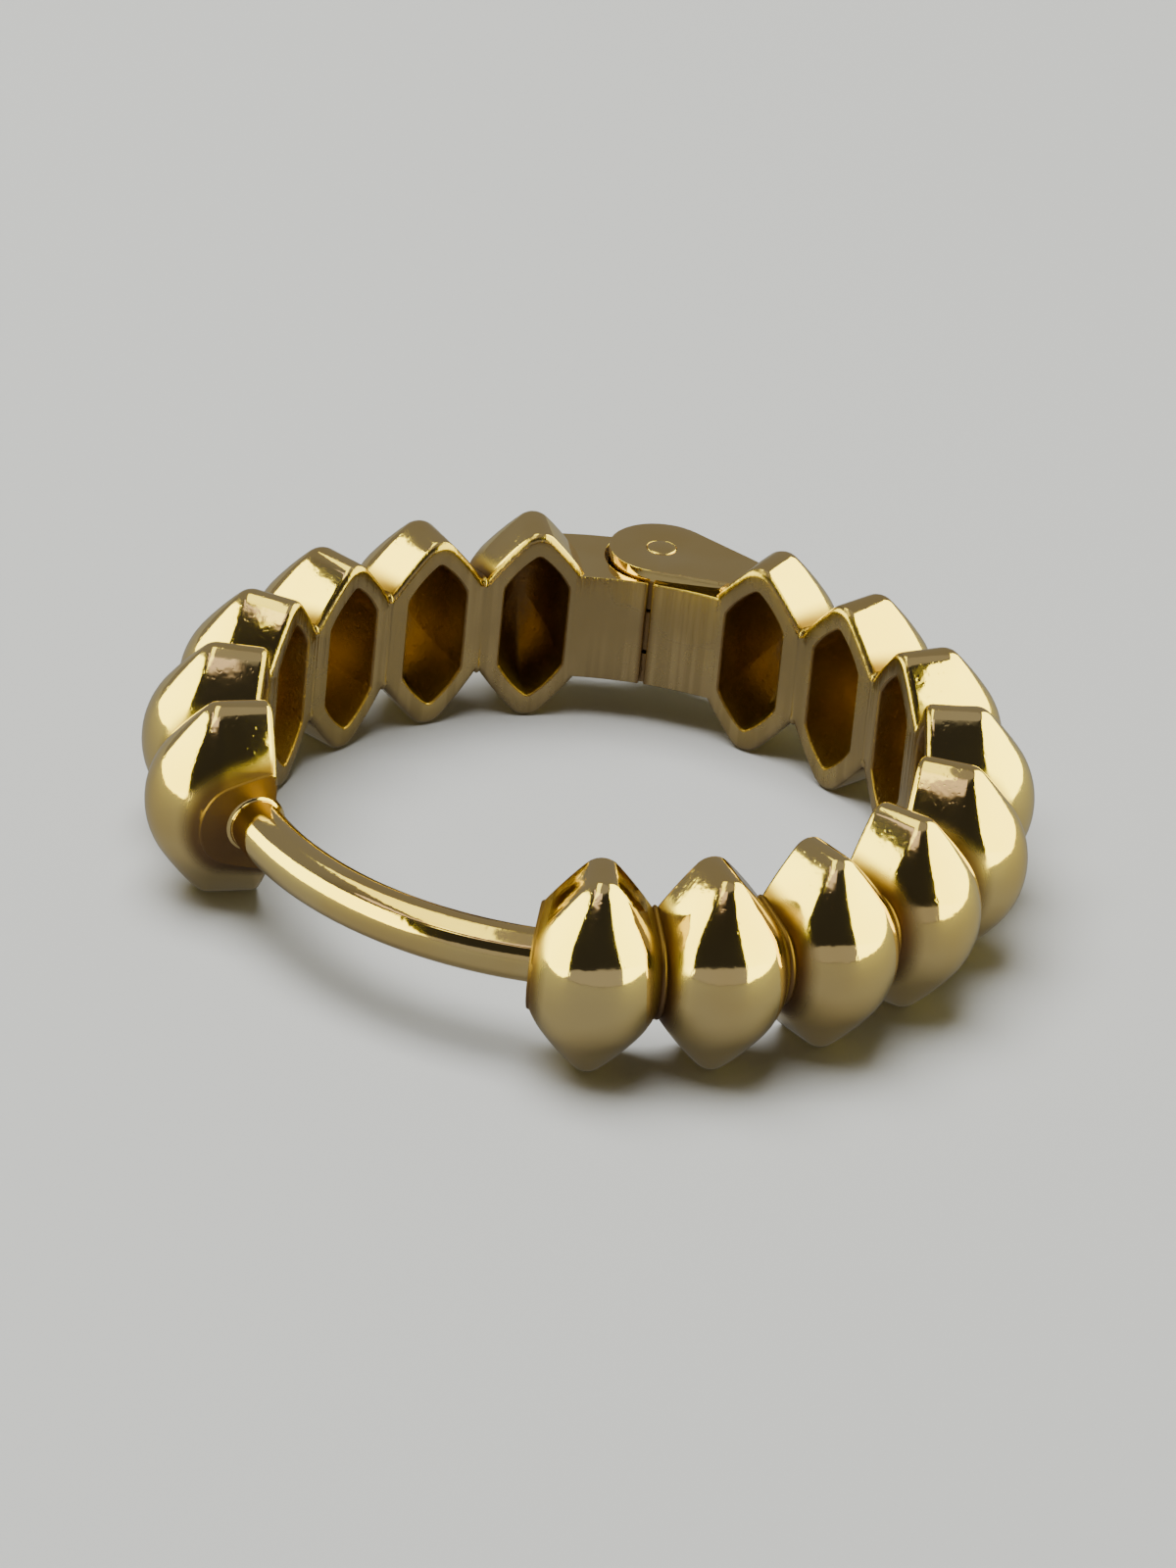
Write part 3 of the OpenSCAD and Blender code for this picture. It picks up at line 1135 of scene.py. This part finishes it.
def start_gold(name, tone, other_tone, clean, smudged):
    """A metal with drifting colour and smudges. Returns it, its place and its shader."""
    gold = bpy.data.materials.new(name)
    gold.use_nodes = True
    tree = gold.node_tree
    tree.nodes.clear()
    out = node(tree, "OutputMaterial")
    position = node(tree, "TexCoord").outputs["Object"]
    place = place_group(tree, hoop_places, {"Position": position})["Place"]
    plain = node(tree, "Mapping", sockets={"Vector": position, "Scale": (1 / MM,) * 3})
    colour = place_group(tree, tone_drift, {
        "Place": plain.outputs[0], "Tone": tone, "Other tone": other_tone})["Color"]
    rough = place_group(tree, smudges, {
        "Place": plain.outputs[0], "Clean": clean, "Smudged": smudged})["Roughness"]
    metal = node(tree, "BsdfPrincipled", sockets={
        "Base Color": colour, "Roughness": rough, "Metallic": 1.0})
    tree.links.new(metal.outputs[0], out.inputs["Surface"])
    return gold, tree, place, plain.outputs[0], metal


def tint(tree, metal, share, tone):
    """Mixes a darker tone into the metal's colour where the share is high."""
    colour = metal.inputs["Base Color"].links[0].from_socket
    tree.links.new(mix(tree, "RGBA", share, colour, tone), metal.inputs["Base Color"])


def raise_height(tree, metal, height, depth, before=None):
    """Bumps the surface by a height that runs over so many millimetres."""
    sockets = {"Height": height, "Distance": depth * MM, "Strength": 1.0}
    if before is not None:
        sockets["Normal"] = before
    normal = node(tree, "Bump", sockets=sockets).outputs["Normal"]
    tree.links.new(normal, metal.inputs["Normal"])
    return normal


# %% [markdown]
# ## Polished gold
#
# The domes and the wire are mirrors, but not perfect ones. The casting leaves a
# slow wave, which bends the edges of what they mirror, and the buffing wheel
# leaves hairlines: across the hoop on the domes, and along it on the wire,
# which was drawn through a plate. A bump does both, because they are far finer
# than the mesh. In the valleys the gold is also rougher.

# %% Polished gold of the domes and the wire
valley_roughness = 0.4
wave_depth = 0.012
hairline_depth = 0.0007


def shade_valleys(tree, metal):
    """Paints shade into the valleys between the links and dulls the gold there."""
    position = node(tree, "TexCoord").outputs["Object"]
    shade = place_group(tree, valley_shade, {"Position": position})["Shade"]
    tint(tree, metal, shade, VALLEY_SHADE_TONE)
    polished = metal.inputs["Roughness"].links[0].from_socket
    dulled = calc(tree, "ADD", polished, calc(tree, "MULTIPLY", shade, valley_roughness))
    tree.links.new(dulled, metal.inputs["Roughness"])


def polished_gold(name, line_length, along_hoop=False):
    """Mirror polish with a slow wave from the casting and hairlines from buffing."""
    gold, tree, place, plain, metal = start_gold(
        name, WARM_GOLD, PALE_GOLD, clean=0.065, smudged=0.095)
    if not along_hoop:
        # Painted shade in the valleys, where the gold is also rougher.
        shade_valleys(tree, metal)
    wave = noise(tree, plain, scale=0.8, detail=4, roughness=0.58)
    normal = raise_height(tree, metal, wave, wave_depth)
    if along_hoop:
        turned = node(tree, "SeparateXYZ", sockets={0: place}).outputs
        place = node(tree, "CombineXYZ", sockets={
            "X": turned["X"], "Y": turned["Z"], "Z": turned["Y"]}).outputs[0]
    lines = place_group(tree, hairlines, {"Place": place, "Length": line_length})["Height"]
    raise_height(tree, metal, lines, hairline_depth, normal)
    return gold


dome_gold = polished_gold("polished_gold", line_length=1.5)
wire_gold = polished_gold("drawn_wire_gold", line_length=4.0, along_hoop=True)
print("made", dome_gold.name, "and", wire_gold.name)

# %% [markdown]
# ## Cast gold
#
# Nobody works the inside of a hollow. It keeps the dull, slightly grainy skin
# that it had when it came from the mould. Its brown tone is darkened as painted
# shade of the recess.

# %% Gold of the hollows, as cast
grain_depth = 0.02


def cast_gold():
    """Dull gold, browned as painted shade of the hollows, with a grain and shallow pits."""
    gold, tree, _, plain, metal = start_gold(
        "cast_gold", SHADED_CAST_GOLD, SHADE_BROWN_GOLD, clean=0.34, smudged=0.5)
    grain = place_group(tree, casting_grain, {"Place": plain, "Scale": 7.0, "Pits": 0.25})
    raise_height(tree, metal, grain["Height"], grain_depth)
    return gold


hollow_gold = cast_gold()
print("made", hollow_gold.name)

# %% [markdown]
# ## Stoned and brushed gold
#
# The flat backs of the links were drawn over a fine stone and the hinge block's
# inner face was brushed, both across the hoop. Close lines bump the surface,
# and wider streaks dull its colour. On the block, painted shade darkens the gold
# beside the seam's narrow gap. One function makes both, the brushed one finer.

# %% Gold drawn over a stone, and brushed gold
close_lines = 0.42
streak_share = 0.8
# Where the painted shade beside the seam fades out, in millimetres from it.
seam_shade_from, seam_shade_to = 0.05, 0.15


def lined_gold(name, fineness, depth, clean, smudged, seam_shade=0.0):
    """Satin gold with fine close lines across the hoop and wider dull streaks."""
    gold, tree, place, plain, metal = start_gold(name, STONED_GOLD, DULL_GOLD, clean, smudged)
    streaks = place_group(tree, hairlines, {
        "Place": place, "Fineness": fineness / 2.5,
        "Length": 8.0, "Sparse": close_lines})["Height"]
    tint(tree, metal, calc(tree, "MULTIPLY", streaks, streak_share), DULL_GOLD)
    # Painted shade of the seam's gap: a brown band on each side of it.
    if seam_shade:
        from_seam = node(tree, "SeparateXYZ", sockets={0: plain}).outputs["X"]
        away = calc(tree, "ABSOLUTE", from_seam)
        tint(tree, metal, rescale(tree, away, seam_shade_from, seam_shade_to, seam_shade, 0.0), SHADE_BROWN_GOLD)
    lines = place_group(tree, hairlines, {
        "Place": place, "Fineness": fineness,
        "Length": 2.5, "Sparse": close_lines})["Height"]
    raise_height(tree, metal, lines, depth)
    return gold


rim_gold = lined_gold("stoned_gold", fineness=9.0, depth=0.002, clean=0.2, smudged=0.3)
# The brushed block carries the painted shade beside the seam.
brushed_gold = lined_gold("brushed_gold", fineness=14.0, depth=0.004, clean=0.24, smudged=0.34,
                          seam_shade=0.9)
print("made", rim_gold.name, "and", brushed_gold.name)

# %% [markdown]
# ## Gold of the pin
#
# The pin's ends were hammered, so they have fine dents and no lines.

# %% Hammered gold
dent_depth = 0.004


def pin_gold():
    """Paler gold with the fine dents of a hammer."""
    gold, tree, _, plain, metal = start_gold(
        "pin_gold", PALE_GOLD, WARM_GOLD, clean=0.1, smudged=0.2)
    grain = place_group(tree, casting_grain, {"Place": plain, "Scale": 12.0, "Pits": 0.2})
    raise_height(tree, metal, grain["Height"], dent_depth)
    return gold


peened_gold = pin_gold()
print("finishes", sorted(m.name for m in bpy.data.materials))

# %% [markdown]
# ## The pieces
#
# Each mesh becomes a named piece, rides with its half of the hoop and stands
# for the solid that it dresses. Both halves share the same golds. The wire and
# the pin have one of their own each, because they were made another way. A
# modifier that weighs normals by area keeps large flat faces looking flat
# beside their rounded edges.

# %% Make the pieces and fix them to the frame
link_finishes = [dome_gold, hollow_gold, rim_gold, brushed_gold]
pieces = {
    "front_links": (front_links, link_finishes, "front", "front_half", "polished_gold"),
    "front_hinge": (front_hinge, link_finishes, "front", "front_half", "polished_gold"),
    "back_links": (back_links, link_finishes, "back", "back_half", "polished_gold"),
    "back_hinge": (back_hinge, link_finishes, "back", "back_half", "polished_gold"),
    "ear_wire": (wire, [wire_gold], "back", "back_half", "polished_gold"),
    "hinge_rod": (pin, [peened_gold], "front", "hinge_pin", "pin_gold"),
}
for name, (bm, finishes, body, solid, slot) in pieces.items():
    piece = as_piece(bm, name, finishes)
    flats = piece.modifiers.new("Flat faces stay flat", "WEIGHTED_NORMAL")
    flats.keep_sharp = True
    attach(piece, body)
    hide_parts(solid)
    print(name, "rides", body, "and stands for", solid)

# %% [markdown]
# ## The floor
#
# The earring lies on a plain pale floor. It is a wide grid with a faint
# cloudiness, so that it doesn't look like a drawing. In the polished gold the
# floor shows darker than it is, as a camera's exposure would have it, which
# gives the lower half of each dome its khaki tone. There it also glows faintly,
# so that it stays even where the hoop's own shadow falls on it.

# %% Paint of the floor
PALE_GREY = (0.61, 0.62, 0.6, 1)
CLOUDY_GREY = (0.59, 0.6, 0.58, 1)
MIRRORED_GREY = (0.12, 0.12, 0.117, 1)
BLACK = (0, 0, 0, 1)
FLOOR_GLOW = (1, 1, 0.97, 1)
clouds_per_metre = 14.0
glow_strength = 0.08


def floor_paint():
    """Matt pale grey, darker and faintly glowing where the gold mirrors it."""
    paint = bpy.data.materials.new("pale_floor")
    paint.use_nodes = True
    tree = paint.node_tree
    shader = tree.nodes["Principled BSDF"]
    position = node(tree, "TexCoord").outputs["Object"]
    colour = place_group(tree, tone_drift, {
        "Place": position, "Scale": clouds_per_metre,
        "Tone": PALE_GREY, "Other tone": CLOUDY_GREY})["Color"]
    mirrored = node(tree, "LightPath").outputs["Is Glossy Ray"]
    shown = mix(tree, "RGBA", mirrored, colour, MIRRORED_GREY)
    tree.links.new(shown, shader.inputs["Base Color"])
    glow = mix(tree, "RGBA", mirrored, BLACK, FLOOR_GLOW)
    tree.links.new(glow, shader.inputs["Emission Color"])
    shader.inputs["Emission Strength"].default_value = glow_strength
    shader.inputs["Roughness"].default_value = 0.7
    shader.inputs["Specular IOR Level"].default_value = 0.1
    return paint


# %% Pale floor
floor_reach = 1.5


def pale_floor():
    bm = bmesh.new()
    bmesh.ops.create_grid(bm, x_segments=8, y_segments=8, size=floor_reach)
    mesh = bpy.data.meshes.new("floor")
    bm.to_mesh(mesh)
    bm.free()
    floor = bpy.data.objects.new("floor", mesh)
    bpy.context.scene.collection.objects.link(floor)
    mesh.materials.append(floor_paint())
    return floor


pale_floor()
print("floor reaches", floor_reach, "m to each side")

# %% [markdown]
# ## Camera
#
# The camera stands where the photographer's lens stood: nearly in front of the
# wire, looking down at about 29 degrees from 17 centimetres away, through a
# long lens. It is rolled a little, because the hoop leans in the picture.
# Directions are given as on a map of the sky: the azimuth goes round the hoop
# and the elevation goes up from the floor.

# %% Camera
hoop_middle = Vector((0, 0, mid_z)) * MM
camera_azimuth = math.radians(7.5)
camera_elevation = math.radians(28.75)
camera_distance = 0.1703
camera_roll = math.radians(5.7)


def direction(azimuth, elevation):
    """Unit vector from the hoop, azimuth 0 towards -Y and growing towards +X."""
    level = math.cos(elevation)
    return Vector((math.sin(azimuth) * level, -math.cos(azimuth) * level, math.sin(elevation)))


def aim(thing, azimuth, elevation, distance, target):
    """Puts a camera or a light there and turns it to face the target."""
    towards = direction(azimuth, elevation)
    thing.location = target + towards * distance
    thing.rotation_mode = "QUATERNION"
    thing.rotation_quaternion = towards.to_track_quat("Z", "Y")
    bpy.context.scene.collection.objects.link(thing)


lens = bpy.data.cameras.new("camera")
lens.lens = 235
lens.clip_start = 0.01
camera = bpy.data.objects.new("camera", lens)
aim(camera, camera_azimuth, camera_elevation, camera_distance, hoop_middle)
camera.rotation_quaternion @= Matrix.Rotation(camera_roll, 3, "Z").to_quaternion()
bpy.context.scene.camera = camera
print("camera", camera_distance, "m away, lens", lens.lens, "mm")

# %% [markdown]
# ## Light
#
# Polished gold shows its surroundings more than itself, so what it mirrors and
# what lights the floor are set apart. One soft light from above on the left
# lights the floor and throws the shadow. Three warm bright cards are seen only
# in the gold: a large one on the left, a narrow one above it and the largest on
# the right. Between them is a dark gap where the camera stands, which draws the
# dark band down each dome.

# %% Softboxes
CARD_TONE = (1.0, 0.96, 0.12)
WHITE = (1, 1, 1)
light_distance = 0.35
floor_dimming = 0.9


def only_in_gold(light):
    """Dims the light where a ray from the floor meets it by way of the gold."""
    light.use_nodes = True
    tree = light.node_tree
    from_floor = node(tree, "LightPath").outputs["Diffuse Depth"]
    dimmed = calc(tree, "MINIMUM", from_floor, floor_dimming)
    share = calc(tree, "SUBTRACT", 1.0, dimmed)
    tree.links.new(share, tree.nodes["Emission"].inputs["Strength"])


def softbox(name, azimuth, elevation, size, radiance, tone, rise=0, roll=0, mirrored=True):
    """A rectangular light that faces the hoop, then is raised and rolled."""
    light = bpy.data.lights.new(name, "AREA")
    light.shape = "RECTANGLE"
    light.size, light.size_y = size
    light.color = tone
    light.energy = radiance * math.pi * size[0] * size[1]
    box = bpy.data.objects.new(name, light)
    turn = camera_azimuth + math.radians(azimuth)
    aim(box, turn, math.radians(elevation), light_distance, hoop_middle)
    box.location.z += rise
    box.rotation_quaternion @= Matrix.Rotation(math.radians(roll), 3, "Z").to_quaternion()
    box.visible_diffuse = not mirrored
    box.visible_glossy = mirrored
    if mirrored:
        only_in_gold(light)
    print(name, "at", [round(c, 2) for c in box.location])


# %% Set the four lights
softbox("left_card", azimuth=-85, elevation=0, size=(0.55, 0.38),
        radiance=6.0, tone=CARD_TONE, rise=0.08, roll=27)
softbox("upper_left_card", azimuth=-100, elevation=70, size=(0.42, 0.11),
        radiance=2.6, tone=CARD_TONE)
softbox("right_card", azimuth=98, elevation=0, size=(0.86, 0.58),
        radiance=6.0, tone=CARD_TONE, rise=0.29)
softbox("floor_light", azimuth=-105, elevation=76, size=(0.3, 0.3),
        radiance=8.1, tone=WHITE, mirrored=False)

# %% [markdown]
# ## The room
#
# The rest of what the gold mirrors is a dim room, painted straight onto the
# world by direction: dark where the camera stands and greyer behind the hoop,
# a pale table low down, a pale ceiling overhead, and a small warm lamp high in
# front. A direction is a unit vector, so its dot product with another one says
# how far it points that way, from -1 to 1. All limits below are such numbers.

# %% Measures of the room
WALL_TONE = (1, 0.96, 0.9, 1)
LAMP_TONE = (1, 0.82, 0.7, 1)
behind, in_front = -0.3, 0.5
wall_behind, wall_in_front = 0.22, 0.03
table_turn = math.radians(15)
table_tilt, table_edge, table_grey = 0.36, 0.02, 0.36
ceiling_from, ceiling_to, ceiling_grey = 0.84, 0.9, 0.32
room_on_floor = 0.7
lamp_slope, lamp_glow = 0.13, 1.1
lamp_up, lamp_across = (0.835, 0.895, 0.01), (-0.66, -0.03, 0.02)
spot_up, spot_across = (0.8, 0.825, 0.006), (-0.55, -0.47, 0.01)


# %% Tell directions apart
def facing(tree, azimuth, elevation=0):
    """How far a ray points in a direction, from -1 to 1."""
    towards = node(tree, "TexCoord").outputs["Generated"]
    return node(tree, "VectorMath", {"operation": "DOT_PRODUCT"},
                {0: towards, 1: direction(azimuth, elevation)}).outputs["Value"]


def within(tree, value, low, high, edge):
    """1 where the value lies between two limits, with soft edges."""
    above = rescale(tree, value, low - edge, low + edge, 0.0, 1.0)
    below = rescale(tree, value, high - edge, high + edge, 1.0, 0.0)
    return calc(tree, "MULTIPLY", above, below)


def patch(tree, up, up_limits, across, across_limits):
    """1 inside a patch of the room that has limits both ways."""
    high = within(tree, up, *up_limits)
    aside = within(tree, across, *across_limits)
    return calc(tree, "MULTIPLY", high, aside)


# %% Walls, table and ceiling
def room_grey(tree, up):
    """Brightness of the room, a little lower where it lights the floor."""
    walls = rescale(tree, facing(tree, camera_azimuth), behind, in_front,
                    wall_behind, wall_in_front)
    far_edge = calc(tree, "MULTIPLY", facing(tree, camera_azimuth + table_turn), table_tilt)
    over_table = calc(tree, "SUBTRACT", up, far_edge)
    table = rescale(tree, over_table, -table_edge, table_edge, table_grey, 0.0)
    ceiling = rescale(tree, up, ceiling_from, ceiling_to, 0.0, ceiling_grey)
    grey = calc(tree, "MAXIMUM", calc(tree, "MAXIMUM", walls, ceiling), table)
    lights_floor = node(tree, "LightPath").outputs["Is Diffuse Ray"]
    return calc(tree, "MULTIPLY", grey,
                rescale(tree, lights_floor, 0.0, 1.0, 1.0, room_on_floor))


# %% Lamp with a dark spot
def lamp_strength(tree, up):
    """A slanting bright patch on the camera's side, with a dark spot in it."""
    sideways = facing(tree, camera_azimuth + math.pi / 2)
    slant = calc(tree, "SUBTRACT", up, calc(tree, "MULTIPLY", sideways, lamp_slope))
    lamp = patch(tree, slant, lamp_up, sideways, lamp_across)
    spot = patch(tree, up, spot_up, sideways, spot_across)
    glow = calc(tree, "MULTIPLY", calc(tree, "SUBTRACT", lamp, spot), lamp_glow)
    on_camera_side = calc(tree, "GREATER_THAN", facing(tree, camera_azimuth), 0.0)
    return calc(tree, "MULTIPLY", glow, on_camera_side)


# %% Paint the room onto the world
def dim_room():
    world = bpy.data.worlds.new("room")
    bpy.context.scene.world = world
    world.use_nodes = True
    tree = world.node_tree
    tree.nodes.clear()
    up = facing(tree, 0, math.pi / 2)
    room = node(tree, "Background", sockets={
        "Color": WALL_TONE, "Strength": room_grey(tree, up)})
    lamp = node(tree, "Background", sockets={
        "Color": LAMP_TONE, "Strength": lamp_strength(tree, up)})
    both = node(tree, "AddShader", sockets={0: room.outputs[0], 1: lamp.outputs[0]})
    out = node(tree, "OutputWorld")
    tree.links.new(both.outputs[0], out.inputs["Surface"])
    print("room made of", len(tree.nodes), "nodes")


dim_room()
